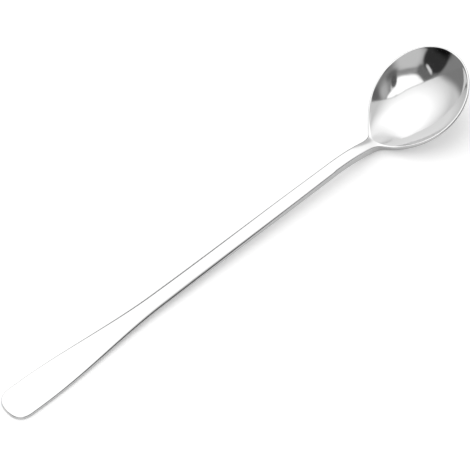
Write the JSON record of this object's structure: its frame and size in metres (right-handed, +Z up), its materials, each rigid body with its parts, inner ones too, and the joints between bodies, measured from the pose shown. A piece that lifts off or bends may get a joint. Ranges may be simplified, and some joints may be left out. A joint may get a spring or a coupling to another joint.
{
  "type": "iced tea spoon",
  "caption": "Long-handled iced tea spoon in polished stainless steel, with a slim flared handle, a dipped neck and a small egg-shaped bowl",
  "frame": {"origin": "on the table's plane, under the middle of the spoon's length and width", "axes": "+X along the spoon from the handle's end to the bowl, +Y to the left of that, +Z up out of the bowl's open side"},
  "size_m": [0.1924, 0.032, 0.0202],
  "materials": {
    "stainless_steel": "bright polished stainless steel with faint lengthwise polish lines on the stem"
  },
  "bodies": {
    "root": {"handle_end": "stainless_steel", "handle": "stainless_steel", "shank": "stainless_steel", "neck": "stainless_steel", "bowl": "stainless_steel"}
  },
  "joints": []
}
